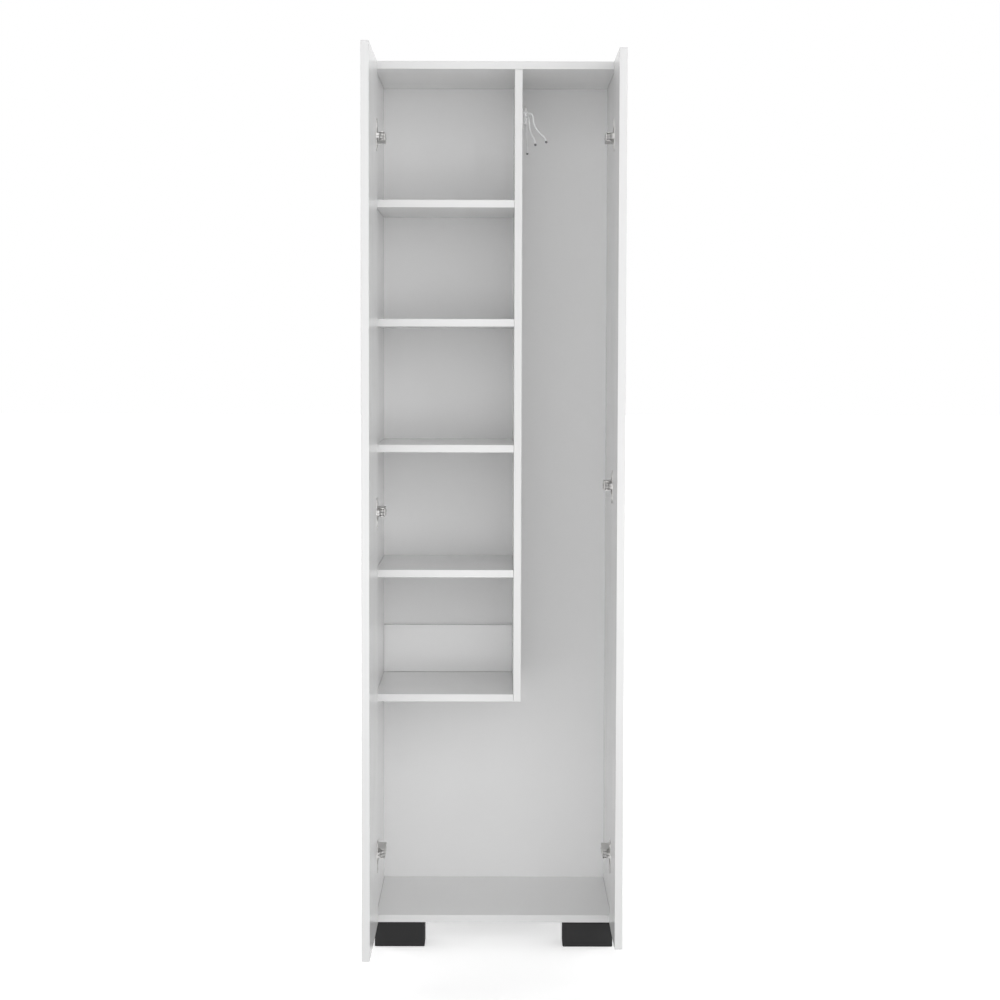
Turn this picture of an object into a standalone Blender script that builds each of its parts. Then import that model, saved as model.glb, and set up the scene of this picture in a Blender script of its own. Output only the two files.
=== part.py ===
"""Tall two-door bathroom cabinet on four block feet. Metres, +Z up, doors open at rest.

The doors hang on concealed cup hinges: cup, two links, arm and mounting plate. A swivel
hanger with three wire hooks is fixed in the tall bay.
"""

import math

import bmesh
import bpy
from mathutils import Matrix, Vector

# Carcass
WIDTH = 0.500
HEIGHT = 1.706
DEPTH = 0.350
BOARD = 0.015
EDGE = 0.0006
LEFT_BAY = 0.273
LOWER_BAY = 0.430
SHELF_BAY = 0.233
UPPER_BAY = 0.218
EVEN_SHELVES = 4
STRETCHER_HEIGHT = 0.100

# Back panel, held in a groove
BACK_BOARD = 0.003
BACK_INSET = 0.012
GROOVE = 0.006

# Block feet
FOOT_WIDTH = 0.100
FOOT_DEPTH = 0.060
FOOT_HEIGHT = 0.050
FOOT_SIDE_INSET = 0.012
FOOT_EDGE_INSET = 0.002
FOOT_CHAMFER = 0.0015

# Doors
DOOR_BOARD = 0.015
DOOR_REVEAL = 0.001
DOOR_MEETING_GAP = 0.003
DOOR_CLOSED_GAP = 0.002
DOOR_OPEN_SETBACK = 0.004
DOOR_OPEN_STANDOFF = 0.009

# Hinge heights above the carcass underside
LOWER_HINGE = 0.140
LEFT_MIDDLE_HINGE = 0.822
RIGHT_MIDDLE_HINGE = 0.876
UPPER_HINGE_DROP = 0.146

# Hinge cup
CUP_RADIUS = 0.0175
CUP_WALL = 0.0014
CUP_DEPTH = 0.011
CUP_FLOOR = 0.0008
CUP_EDGE_DISTANCE = 0.0035
RIM_LIP = 0.0005
RIM_RISE = 0.0002
FLANGE = 0.001
FLANGE_SCREW_SPACING = 0.048
FLANGE_SCREW_OFFSET = 0.006
FLANGE_EAR = 0.008
FLANGE_SCREW = 0.0022

# Hinge links: where the cup pins lie from the pole, and how far the arm pins lie from it
INNER_CUP_PIN = (0.0040, 0.0100)
INNER_ARM_PIN = 0.0240
INNER_ELBOW = (0.0230, -0.0260)
OUTER_CUP_PIN = (0.0025, 0.0080)
OUTER_ARM_PIN = 0.0250
OUTER_ELBOW = (0.0230, -0.0240)
PIN = 0.0008
EYE_WALL = 0.0010
LINK = 0.0028
LINK_WIDTH = 0.0044
LINK_SPACING = 0.0012
DOOR_SWING = 90
DOOR_OVERTRAVEL = 5

# Hinge arm and mounting plate
ARM_REACH = 0.0180
ARM_WIDTH = 0.0170
ARM_SHEET = 0.0012
ARM_NOSE = 0.0078
ARM_NOSE_DEPTH = 0.0085
ARM_LENGTH = 0.062
ARM_CORNER = 0.0015
WEB_SETBACK = 0.002
ARM_HEEL = 0.012
PLATE = 0.0016
PLATE_SETBACK = 0.037
PLATE_SCREW_SPACING = 0.032
PLATE_EAR = 0.0085
PLATE_SCREW = 0.0025
BLOCK_LENGTH = 0.034
BLOCK_SLOPE = 0.004

# Swivel hanger, with its hooks' bearings from straight back, lowest hook first
HANGER_SETBACK = 0.066
HANGER_DROP = 0.098
HANGER_STANDOFF = 0.007
HANGER_SHEET = 0.0015
HANGER_EAR = 0.0048
HANGER_LOWER_TAB = 0.010
HANGER_UPPER_TAB = 0.006
HANGER_PIN = 0.0018
PIN_RISE = 0.0080
PIN_HEAD = 0.0026
PIN_HEAD_HEIGHT = 0.0014
HOOK_EYE = 0.0040
HOOK_EYE_HEIGHT = 0.0065
WIRE = 0.0016
HOOK_REACH = 0.060
HOOK_DROP = 0.0585
HOOK_SHARES = ((0.04, 0), (0.27, 0), (0.36, 0.10), (0.38, 0.28), (0.53, 0.54), (0.95, 0.88), (1, 1))
HOOK_BEARINGS = {"back": 4, "front": 162, "middle": 138}
TIP = 0.0023
TIP_LENGTH = 0.0042
TIP_COVER = 0.0020

# Working clearances, and how near two points are one
FIT = 0.0003
OVERRUN = 0.002
WELD = 0.000005

# Smoothness of round forms
CUP_STEPS = 32
PIN_STEPS = 12
ARC_STEPS = 8
NECK_STEPS = 8
WIRE_STEPS = 4
SMOOTH_ANGLE = math.radians(40)
FLAT_ANGLE = math.radians(0.5)
QUARTER_TURN = math.pi / 2

# Worked out
INTERIOR_DEPTH = DEPTH - BACK_INSET - BACK_BOARD
DIVIDER_LEFT = BOARD + LEFT_BAY
DIVIDER_RIGHT = DIVIDER_LEFT + BOARD
DIVIDER_CENTRE = DIVIDER_LEFT + BOARD / 2
LEFT_DOOR_WIDTH = DIVIDER_CENTRE - DOOR_MEETING_GAP / 2 - DOOR_REVEAL
RIGHT_DOOR_WIDTH = WIDTH - DIVIDER_CENTRE - DOOR_MEETING_GAP / 2 - DOOR_REVEAL
FRONT = (DOOR_OPEN_STANDOFF + LEFT_DOOR_WIDTH - DEPTH) / 2
DOOR_FACE = BOARD + DOOR_OPEN_SETBACK
POLE_X = (DOOR_FACE + DOOR_CLOSED_GAP + DOOR_REVEAL - DOOR_OPEN_STANDOFF) / 2
POLE_Y = (DOOR_REVEAL - DOOR_OPEN_STANDOFF - DOOR_FACE - DOOR_CLOSED_GAP) / 2
CUP_Y = -DOOR_OPEN_STANDOFF - CUP_EDGE_DISTANCE - CUP_RADIUS
ARM_TOP = BOARD + ARM_REACH
HANGER_BASE = HEIGHT - BOARD - HANGER_DROP
UPPER_HINGE = HEIGHT - UPPER_HINGE_DROP
PARTS = bpy.data.collections.new("tall_bathroom_cabinet")
CUTTERS = bpy.data.collections.new("cutters")


# Places


def place(x, y, z):
    """World point from x off the left outer side, y behind the front edges, z above the underside."""
    return Vector((x - WIDTH / 2, y + FRONT, z + FOOT_HEIGHT))


def hinge_place(side, x, y, z):
    """World point from x off the outer side that the hinge is on.

    The side is 1 on the left and -1 on the right.
    """
    return Vector((side * (x - WIDTH / 2), y + FRONT, z + FOOT_HEIGHT))


def pole():
    return Vector((POLE_X, POLE_Y))


def open_cup_pin(offset):
    """The cup pin with the door open: its offset from the pole, turned back by a quarter."""
    return pole() + Vector((offset[1], -offset[0]))


def arm_pin(offset, distance):
    """The arm pin lies on the line from the pole that halves the cup pin's quarter turn."""
    halving = Vector((offset[0] + offset[1], offset[1] - offset[0])).normalized()
    return pole() + halving * distance


def turned(vector, angle):
    return Matrix.Rotation(angle, 2) @ vector


def link_ratio(offset, distance):
    """How far the link turns on the door for each degree of the door.

    At this ratio the link meets the arm pin with the door shut and with it open.
    """
    pin = arm_pin(offset, distance)
    opened = pin - open_cup_pin(offset)
    shut = pin - (pole() + Vector(offset))
    turn = math.atan2(shut.y, shut.x) - math.atan2(opened.y, opened.x)
    return (turn - QUARTER_TURN) / QUARTER_TURN


def arm_pin_in_link(offset, distance, degrees):
    """Where the arm pin lies along and across the link when the door has turned this far."""
    angle = math.radians(degrees)
    along = arm_pin(offset, distance) - open_cup_pin(offset)
    cup_pin = pole() + turned(open_cup_pin(offset) - pole(), angle)
    local = turned(arm_pin(offset, distance) - cup_pin, -angle * (1 + link_ratio(offset, distance)))
    ahead = along.normalized()
    return local.dot(ahead), local.dot(turned(ahead, QUARTER_TURN))


# Finishes


def principled(name, colour, roughness, metallic):
    material = bpy.data.materials.new(name)
    material.use_nodes = True
    shader = material.node_tree.nodes["Principled BSDF"]
    shader.inputs["Base Color"].default_value = (*colour, 1)
    shader.inputs["Roughness"].default_value = roughness
    shader.inputs["Metallic"].default_value = metallic
    material.diffuse_color = (*colour, 1)
    return material


def white_board(name):
    return principled(name + "_white_board", (0.91, 0.91, 0.91), 0.45, 0)


def nickel_steel(name):
    return principled(name + "_nickel_steel", (0.62, 0.61, 0.60), 0.30, 1)


def black_plastic(name):
    return principled(name + "_black_plastic", (0.03, 0.03, 0.032), 0.55, 0)


def white_lacquer(name):
    return principled(name + "_white_lacquer", (0.78, 0.78, 0.79), 0.35, 0)


def dark_rubber(name):
    return principled(name + "_dark_rubber", (0.12, 0.12, 0.125), 0.70, 0)


# Shapes


def clear_scene():
    for obj in list(bpy.data.objects):
        bpy.data.objects.remove(obj, do_unlink=True)
    for collection in (PARTS, CUTTERS):
        bpy.context.scene.collection.children.link(collection)


def mesh_object(name, shape, location):
    mesh = bpy.data.meshes.new(name)
    shape.to_mesh(mesh)
    shape.free()
    obj = bpy.data.objects.new(name, mesh)
    obj.location = location
    PARTS.objects.link(obj)
    return obj


def box(name, low, high):
    size = high - low
    shape = bmesh.new()
    bmesh.ops.create_cube(shape, size=1)
    bmesh.ops.scale(shape, vec=size, verts=shape.verts)
    return mesh_object(name, shape, (low + high) / 2)


def cylinder(name, radius, length, centre, steps=PIN_STEPS):
    shape = bmesh.new()
    bmesh.ops.create_cone(
        shape, cap_ends=True, segments=steps, radius1=radius, radius2=radius, depth=length
    )
    return mesh_object(name, shape, centre)


def curve_mesh(name, curve, location):
    """The curve's solid as a mesh object, so that Booleans can use it."""
    guide = bpy.data.objects.new(name + "_curve", curve)
    PARTS.objects.link(guide)
    bpy.context.view_layer.update()
    graph = bpy.context.evaluated_depsgraph_get()
    mesh = bpy.data.meshes.new_from_object(guide.evaluated_get(graph))
    bpy.data.objects.remove(guide, do_unlink=True)
    shape = bmesh.new()
    shape.from_mesh(mesh)
    bpy.data.meshes.remove(mesh)
    bmesh.ops.remove_doubles(shape, verts=shape.verts, dist=WELD)
    bmesh.ops.recalc_face_normals(shape, faces=shape.faces)
    return mesh_object(name, shape, location)


def flat_plate(name, points, thickness, location):
    """A flat outline, filled and extruded to both sides of its plane."""
    curve = bpy.data.curves.new(name, "CURVE")
    curve.dimensions = "2D"
    curve.fill_mode = "BOTH"
    curve.extrude = thickness / 2
    spline = curve.splines.new("POLY")
    spline.points.add(len(points) - len(spline.points))
    for point, (x, y) in zip(spline.points, points):
        point.co = (x, y, 0, 1)
    spline.use_cyclic_u = True
    plate = curve_mesh(name, curve, location)
    join_flat_faces(plate)
    return plate


def join_flat_faces(obj):
    """Makes one face of the triangles that fill a flat outline, so that cuts in it stay clean."""
    shape = bmesh.new()
    shape.from_mesh(obj.data)
    bmesh.ops.dissolve_limit(shape, angle_limit=FLAT_ANGLE, verts=shape.verts, edges=shape.edges)
    shape.to_mesh(obj.data)
    shape.free()


def turned_solid(name, profile, location, steps):
    """A profile of radii and heights turned round Z."""
    shape = bmesh.new()
    corners = [shape.verts.new((radius, 0, height)) for radius, height in profile]
    for first, second in zip(corners, corners[1:]):
        shape.edges.new((first, second))
    obj = mesh_object(name, shape, location)
    screw = obj.modifiers.new("turn", "SCREW")
    screw.steps = screw.render_steps = steps
    screw.use_merge_vertices = True
    screw.merge_threshold = FIT / ARC_STEPS
    screw.use_normal_calculate = True
    screw.use_smooth_shade = True
    return obj


def arc(centre, radius, start, end, steps=ARC_STEPS):
    """Points of an arc, with its angles in quarter turns."""
    angles = (QUARTER_TURN * (start + (end - start) * step / steps) for step in range(steps + 1))
    return [(centre[0] + radius * math.cos(a), centre[1] + radius * math.sin(a)) for a in angles]


def obround(first, second, radius):
    """Outline of the strip round the line between two points."""
    line = Vector(second) - Vector(first)
    heading = math.atan2(line.y, line.x) / QUARTER_TURN
    return arc(second, radius, heading - 1, heading + 1) + arc(first, radius, heading + 1, heading + 3)


def soften(obj, width):
    bevel = obj.modifiers.new("soften", "BEVEL")
    bevel.width = width
    bevel.segments = 1


def combine(target, tool, operation):
    modifier = target.modifiers.new(tool.name, "BOOLEAN")
    modifier.operation = operation
    modifier.solver = "EXACT"
    modifier.object = tool
    tool.hide_render = True
    tool.display_type = "WIRE"
    if tool.name in PARTS.objects:
        PARTS.objects.unlink(tool)
        CUTTERS.objects.link(tool)


def smooth(obj):
    obj.data.shade_smooth()
    obj.data.set_sharp_from_angle(angle=SMOOTH_ANGLE)


def close_seams(obj):
    """Joins the points that the Booleans leave a hair apart."""
    weld = obj.modifiers.new("close_seams", "WELD")
    weld.merge_threshold = WELD


def hang_on(piece, parent):
    """Parents the piece and leaves it where it is."""
    bpy.context.view_layer.update()
    piece.parent = parent
    piece.matrix_parent_inverse = parent.matrix_world.inverted()


def finish(obj, surface):
    obj.data.materials.clear()
    obj.data.materials.append(surface(obj.name))
    return obj


# Carcass


def board(name, low, high):
    obj = box(name, low, high)
    soften(obj, EDGE)
    return finish(obj, white_board)


def back_groove():
    """The room for the back panel in the boards round it."""
    low = place(BOARD - GROOVE, INTERIOR_DEPTH - FIT, BOARD - GROOVE)
    high = place(WIDTH - BOARD + GROOVE, DEPTH - BACK_INSET + FIT, HEIGHT - BOARD + GROOVE)
    return box("back_groove", low, high)


def outer_boards():
    left = board("left_side_panel", place(0, 0, 0), place(BOARD, DEPTH, HEIGHT))
    right = board("right_side_panel", place(WIDTH - BOARD, 0, 0), place(WIDTH, DEPTH, HEIGHT))
    inner_left, inner_right = BOARD + FIT, WIDTH - BOARD - FIT
    bottom = board("bottom_panel", place(inner_left, 0, 0), place(inner_right, DEPTH, BOARD))
    top = board("top_panel", place(inner_left, 0, HEIGHT - BOARD), place(inner_right, DEPTH, HEIGHT))
    groove = back_groove()
    for panel in (left, right, bottom, top):
        combine(panel, groove, "DIFFERENCE")


def back_panel():
    inset = BOARD - GROOVE + FIT
    low = place(inset, INTERIOR_DEPTH, inset)
    high = place(WIDTH - inset, DEPTH - BACK_INSET, HEIGHT - inset)
    finish(box("back_panel", low, high), white_board)


def divider():
    low = place(DIVIDER_LEFT, 0, BOARD + LOWER_BAY)
    high = place(DIVIDER_RIGHT, INTERIOR_DEPTH - FIT, HEIGHT - BOARD - FIT)
    board("divider_panel", low, high)


def shelf_undersides():
    lowest = BOARD + LOWER_BAY
    middle = [lowest + (SHELF_BAY + BOARD) * step for step in range(EVEN_SHELVES)]
    return [*middle, middle[-1] + BOARD + UPPER_BAY]


def shelves():
    for number, underside in enumerate(shelf_undersides(), start=1):
        low = place(BOARD + FIT, 0, underside)
        high = place(DIVIDER_LEFT - FIT, INTERIOR_DEPTH - FIT, underside + BOARD)
        board(f"shelf_{number}", low, high)


def rear_stretcher():
    """The upright rail at the back of the lowest shelf."""
    base = BOARD + LOWER_BAY + BOARD + FIT
    rear = INTERIOR_DEPTH - FIT
    low = place(BOARD + FIT, rear - BOARD, base)
    high = place(DIVIDER_LEFT - FIT, rear, base + STRETCHER_HEIGHT)
    board("rear_stretcher", low, high)


def feet():
    near = {"left": FOOT_SIDE_INSET, "right": WIDTH - FOOT_SIDE_INSET - FOOT_WIDTH}
    deep = {"front": FOOT_EDGE_INSET, "rear": DEPTH - FOOT_EDGE_INSET - FOOT_DEPTH}
    for row, y in deep.items():
        for side, x in near.items():
            low = place(x, y, -FOOT_HEIGHT)
            foot = box(f"{row}_{side}_foot", low, place(x + FOOT_WIDTH, y + FOOT_DEPTH, -FIT))
            soften(foot, FOOT_CHAMFER)
            finish(foot, black_plastic)


# Doors


def door_pivot(name, side):
    """An empty on the axis that the door turns round."""
    pivot = bpy.data.objects.new(name, None)
    pivot.location = hinge_place(side, POLE_X, POLE_Y, 0)
    PARTS.objects.link(pivot)
    return pivot


def cup_bore(name, side, height):
    """The blind hole in the door for one hinge cup."""
    depth = CUP_DEPTH + CUP_FLOOR + FIT
    centre = hinge_place(side, DOOR_FACE - (depth - OVERRUN) / 2, CUP_Y, height)
    bore = cylinder(name, CUP_RADIUS + FIT, depth + OVERRUN, centre, CUP_STEPS)
    bore.rotation_euler = (0, QUARTER_TURN, 0)
    return bore


def door(name, side, width, heights, pivot):
    near = hinge_place(side, DOOR_FACE - DOOR_BOARD, -DOOR_OPEN_STANDOFF - width, DOOR_REVEAL)
    far = hinge_place(side, DOOR_FACE, -DOOR_OPEN_STANDOFF, HEIGHT - DOOR_REVEAL)
    low = Vector((min(near.x, far.x), near.y, near.z))
    high = Vector((max(near.x, far.x), far.y, far.z))
    leaf = board(name, low, high)
    for level, height in heights.items():
        combine(leaf, cup_bore(f"{name}_{level}_bore", side, height), "DIFFERENCE")
    hang_on(leaf, pivot)
    return leaf


# Hinge cup


def stub_pin(name, side, centre, outer, inner, height):
    """A pin held at its outer end only, reaching through one link."""
    middle = hinge_place(side, centre.x, centre.y, height + (outer + inner) / 2)
    return cylinder(name, PIN, abs(outer - inner), middle)


def cup_pin_end(centre):
    """How far off the cup's middle plane a cup pin ends, inside the wall all round the pin."""
    across = abs(centre.y - CUP_Y)
    inner = math.sqrt((CUP_RADIUS - CUP_WALL) ** 2 - (across - PIN) ** 2)
    outer = math.sqrt(CUP_RADIUS**2 - (across + PIN) ** 2)
    return (inner + outer) / 2


def cup_flange(name, side, location):
    """The strip with the two screw ears, flat on the door."""
    half = FLANGE_SCREW_SPACING / 2
    outline = obround((-half, -FLANGE_SCREW_OFFSET), (half, -FLANGE_SCREW_OFFSET), FLANGE_EAR)
    flange = flat_plate(name, outline, FLANGE, location)
    flange.rotation_euler = (0, side * QUARTER_TURN, 0)
    return flange


def cup_body(name, side, height):
    """The turned outside of the cup with its lip, opening to the inside of the cabinet."""
    profile = [
        (0, -CUP_DEPTH - CUP_FLOOR),
        (CUP_RADIUS - CUP_FLOOR, -CUP_DEPTH - CUP_FLOOR),
        (CUP_RADIUS, -CUP_DEPTH),
        (CUP_RADIUS, FIT + RIM_RISE),
        (CUP_RADIUS + RIM_LIP, FIT + RIM_RISE),
        (CUP_RADIUS + RIM_LIP, FIT + FLANGE + RIM_RISE),
        (0, FIT + FLANGE + RIM_RISE),
    ]
    cup = turned_solid(name, profile, hinge_place(side, DOOR_FACE, CUP_Y, height), CUP_STEPS)
    cup.rotation_euler = (0, side * QUARTER_TURN, 0)
    return cup


def hinge_cup(name, side, height, pivot):
    cup = cup_body(name, side, height)
    on_flange = hinge_place(side, DOOR_FACE + FIT + FLANGE / 2, CUP_Y, height)
    combine(cup, cup_flange(name + "_flange", side, on_flange), "UNION")
    room = CUP_DEPTH + FIT + FLANGE + OVERRUN
    centre = hinge_place(side, DOOR_FACE - CUP_DEPTH + room / 2, CUP_Y, height)
    hollow = cylinder(name + "_hollow", CUP_RADIUS - CUP_WALL, room, centre, CUP_STEPS)
    hollow.rotation_euler = (0, QUARTER_TURN, 0)
    combine(cup, hollow, "DIFFERENCE")
    for row in (-1, 1):
        spot = Vector((0, -FLANGE_SCREW_OFFSET, row * FLANGE_SCREW_SPACING / 2))
        hole = cylinder(f"{name}_screw_hole_{row}", FLANGE_SCREW, FLANGE + OVERRUN, on_flange + spot)
        hole.rotation_euler = (0, QUARTER_TURN, 0)
        combine(cup, hole, "DIFFERENCE")
    for link, offset, row in (("inner", INNER_CUP_PIN, -1), ("outer", OUTER_CUP_PIN, 1)):
        centre = open_cup_pin(offset)
        ends = row * cup_pin_end(centre), row * LINK_SPACING / 2
        combine(cup, stub_pin(f"{name}_{link}_pin", side, centre, *ends, height), "UNION")
    hang_on(cup, pivot)
    return finish(cup, nickel_steel)


# Hinge links


def neck_line(offset, distance, elbow, reach):
    """The bent middle line of a link, from its cup pin as the origin to the near end of its slot."""
    start = open_cup_pin(offset)
    heading = (arm_pin(offset, distance) - start).normalized()
    bend = Vector(elbow) - start
    end = heading * reach
    shares = [step / NECK_STEPS for step in range(NECK_STEPS + 1)]
    return [2 * s * (1 - s) * bend + s * s * end for s in shares]


def band(line, width, side):
    """Outline of a strip of one width along a line."""
    left, right = [], []
    for index, point in enumerate(line):
        ahead = line[min(index + 1, len(line) - 1)] - line[max(index - 1, 0)]
        across = turned(ahead.normalized(), QUARTER_TURN) * width / 2
        left.append((side * (point.x + across.x), point.y + across.y))
        right.append((side * (point.x - across.x), point.y - across.y))
    return left + right[::-1]


def slot_reach(offset, distance):
    """The nearest and farthest place of the arm pin along the link, and how far it strays across."""
    swing = range(-DOOR_OVERTRAVEL, DOOR_SWING + DOOR_OVERTRAVEL, DOOR_OVERTRAVEL)
    places = [arm_pin_in_link(offset, distance, degrees) for degrees in swing]
    along = [spot[0] for spot in places]
    return min(along), max(along), max(abs(spot[1]) for spot in places)


def link_solid(name, side, offset, distance, elbow, layer, height):
    """A link: a round eye on the cup pin, a bent neck, and a slotted eye round the arm pin."""
    start = open_cup_pin(offset)
    middle = layer * (LINK_SPACING + LINK_WIDTH) / 2
    origin = hinge_place(side, start.x, start.y, height + middle)
    heading = (arm_pin(offset, distance) - start).normalized()
    near, far, stray = slot_reach(offset, distance)
    room = PIN + FIT + stray
    ends = [(side * heading.x * along, heading.y * along) for along in (near, far)]
    line = neck_line(offset, distance, elbow, near)
    link = flat_plate(name, band(line, LINK, side), LINK_WIDTH, origin)
    eye = cylinder(name + "_eye", PIN + FIT + EYE_WALL, LINK_WIDTH, origin, 2 * PIN_STEPS)
    combine(link, eye, "UNION")
    combine(link, flat_plate(name + "_end", obround(*ends, room + EYE_WALL), LINK_WIDTH, origin), "UNION")
    combine(link, cylinder(name + "_pin_hole", PIN + FIT, LINK_WIDTH + OVERRUN, origin), "DIFFERENCE")
    slot = flat_plate(name + "_slot", obround(*ends, room), LINK_WIDTH + OVERRUN, origin)
    combine(link, slot, "DIFFERENCE")
    return finish(link, nickel_steel)


# Hinge arm and mounting plate


def arm_outline(side):
    """Side view of the arm: a straight heel on the plate and a nose that reaches over the side's edge."""
    nose = ARM_TOP - ARM_NOSE_DEPTH
    foot = BOARD + FIT + PLATE + FIT
    points = [
        (nose, -ARM_NOSE + ARM_CORNER),
        (nose + ARM_CORNER, -ARM_NOSE),
        (ARM_TOP - ARM_CORNER, -ARM_NOSE),
        (ARM_TOP, -ARM_NOSE + ARM_CORNER),
        (ARM_TOP, ARM_LENGTH - ARM_CORNER),
        (ARM_TOP - ARM_CORNER, ARM_LENGTH),
        (foot + ARM_CORNER, ARM_LENGTH),
        (foot, ARM_LENGTH - ARM_CORNER),
        (foot, ARM_HEEL),
        (nose, FIT),
    ]
    return [(side * x, y) for x, y in points]


def arm_channel_outline(side):
    """The room between the arm's cheeks: open under the web, and right through in front of it."""
    inner = ARM_TOP - ARM_SHEET
    points = [
        (0, -ARM_NOSE - OVERRUN),
        (ARM_TOP + OVERRUN, -ARM_NOSE - OVERRUN),
        (ARM_TOP + OVERRUN, WEB_SETBACK),
        (inner, WEB_SETBACK),
        (inner, ARM_LENGTH + OVERRUN),
        (0, ARM_LENGTH + OVERRUN),
    ]
    return [(side * x, y) for x, y in points]


def hinge_arm(name, side, height):
    origin = hinge_place(side, 0, 0, height)
    arm = flat_plate(name, arm_outline(side), ARM_WIDTH, origin)
    channel_width = ARM_WIDTH - 2 * ARM_SHEET
    channel = flat_plate(name + "_channel", arm_channel_outline(side), channel_width, origin)
    combine(arm, channel, "DIFFERENCE")
    cheek = (ARM_WIDTH - ARM_SHEET) / 2
    pins = (("inner", INNER_CUP_PIN, INNER_ARM_PIN, -1), ("outer", OUTER_CUP_PIN, OUTER_ARM_PIN, 1))
    for link, offset, distance, row in pins:
        ends = row * cheek, row * LINK_SPACING / 2
        pin = stub_pin(f"{name}_{link}_pin", side, arm_pin(offset, distance), *ends, height)
        combine(arm, pin, "UNION")
    return finish(arm, nickel_steel)


def block_outline(side):
    """Side view of the raised block that the arm's web rests on."""
    foot, top = BOARD + FIT + PLATE / 2, ARM_TOP - ARM_SHEET - FIT
    front, rear = PLATE_SETBACK - BLOCK_LENGTH / 2, PLATE_SETBACK + BLOCK_LENGTH / 2
    points = [
        (foot, front - BLOCK_SLOPE),
        (foot + PLATE, front - BLOCK_SLOPE),
        (top - BLOCK_SLOPE, front),
        (top, front + BLOCK_SLOPE),
        (top, rear - BLOCK_SLOPE),
        (top - BLOCK_SLOPE, rear),
        (foot + PLATE, rear + BLOCK_SLOPE),
        (foot, rear + BLOCK_SLOPE),
    ]
    return [(side * x, y) for x, y in points]


def hinge_plate(name, side, height):
    half = PLATE_SCREW_SPACING / 2
    centre = hinge_place(side, BOARD + FIT + PLATE / 2, PLATE_SETBACK, height)
    plate = flat_plate(name, obround((-half, 0), (half, 0), PLATE_EAR), PLATE, centre)
    plate.rotation_euler = (0, QUARTER_TURN, 0)
    for row in (-1, 1):
        spot = centre + Vector((0, 0, row * half))
        hole = cylinder(f"{name}_screw_hole_{row}", PLATE_SCREW, PLATE + OVERRUN, spot)
        hole.rotation_euler = (0, QUARTER_TURN, 0)
        combine(plate, hole, "DIFFERENCE")
    width = ARM_WIDTH - 2 * ARM_SHEET - 2 * FIT
    block = flat_plate(name + "_block", block_outline(side), width, hinge_place(side, 0, 0, height))
    combine(plate, block, "UNION")
    return finish(plate, nickel_steel)


def hinge(label, side, height, pivot):
    """One whole hinge: plate and arm on the side panel, cup on the door, links between."""
    hinge_plate(f"{label}_hinge_plate", side, height)
    hinge_arm(f"{label}_hinge_arm", side, height)
    hinge_cup(f"{label}_hinge_cup", side, height, pivot)
    inner = (INNER_CUP_PIN, INNER_ARM_PIN, INNER_ELBOW, -1, height)
    outer = (OUTER_CUP_PIN, OUTER_ARM_PIN, OUTER_ELBOW, 1, height)
    for link, values in (("inner", inner), ("outer", outer)):
        hang_on(link_solid(f"{label}_{link}_link", side, *values), pivot)


def hung_door(word, side, width, middle_hinge):
    heights = {"lower": LOWER_HINGE, "middle": middle_hinge, "upper": UPPER_HINGE}
    pivot = door_pivot(f"{word}_door_pivot", side)
    door(f"{word}_door", side, width, heights, pivot)
    for level, height in heights.items():
        hinge(f"{word}_{level}", side, height, pivot)


# Swivel hanger


def hanger_place(x, z):
    """World point from x off the divider's face and z above the lowest hook eye."""
    return place(DIVIDER_RIGHT + x, HANGER_SETBACK, HANGER_BASE + z)


def eye_stack_height():
    return len(HOOK_BEARINGS) * (HOOK_EYE_HEIGHT + FIT)


def hanger_bracket():
    """A back plate with an ear below and above the hook eyes."""
    sheet, reach = FIT + HANGER_SHEET, HANGER_STANDOFF + HANGER_EAR
    low, high = -FIT, eye_stack_height()
    outline = [
        (FIT, low - HANGER_SHEET - HANGER_LOWER_TAB),
        (sheet, low - HANGER_SHEET - HANGER_LOWER_TAB),
        (sheet, low - HANGER_SHEET),
        (reach, low - HANGER_SHEET),
        (reach, low),
        (sheet, low),
        (sheet, high),
        (reach, high),
        (reach, high + HANGER_SHEET),
        (sheet, high + HANGER_SHEET),
        (sheet, high + HANGER_SHEET + HANGER_UPPER_TAB),
        (FIT, high + HANGER_SHEET + HANGER_UPPER_TAB),
    ]
    bracket = flat_plate("hanger_bracket", outline, 2 * HANGER_EAR, hanger_place(0, 0))
    bracket.rotation_euler = (QUARTER_TURN, 0, 0)
    round_end = arc((HANGER_STANDOFF, 0), HANGER_EAR, -1, 1) + [(0, HANGER_EAR), (0, -HANGER_EAR)]
    tall = 2 * (high + HANGER_LOWER_TAB + HANGER_UPPER_TAB)
    combine(bracket, flat_plate("hanger_rounding", round_end, tall, hanger_place(0, 0)), "INTERSECT")
    middle = hanger_place(HANGER_STANDOFF, high / 2)
    hole = cylinder("hanger_pin_hole", HANGER_PIN + FIT, high + 2 * HANGER_SHEET + OVERRUN, middle)
    combine(bracket, hole, "DIFFERENCE")
    finish(bracket, white_lacquer)


def hanger_pin():
    high = eye_stack_height() + HANGER_SHEET + PIN_RISE
    low = -FIT - HANGER_SHEET - FIT
    profile = [
        (0, low),
        (HANGER_PIN, low),
        (HANGER_PIN, high),
        (PIN_HEAD, high),
        (PIN_HEAD, high + PIN_HEAD_HEIGHT / 2),
        (PIN_HEAD - PIN_HEAD_HEIGHT / 2, high + PIN_HEAD_HEIGHT),
        (0, high + PIN_HEAD_HEIGHT),
    ]
    pin = turned_solid("hanger_pin", profile, hanger_place(HANGER_STANDOFF, 0), PIN_STEPS)
    finish(pin, nickel_steel)


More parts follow.
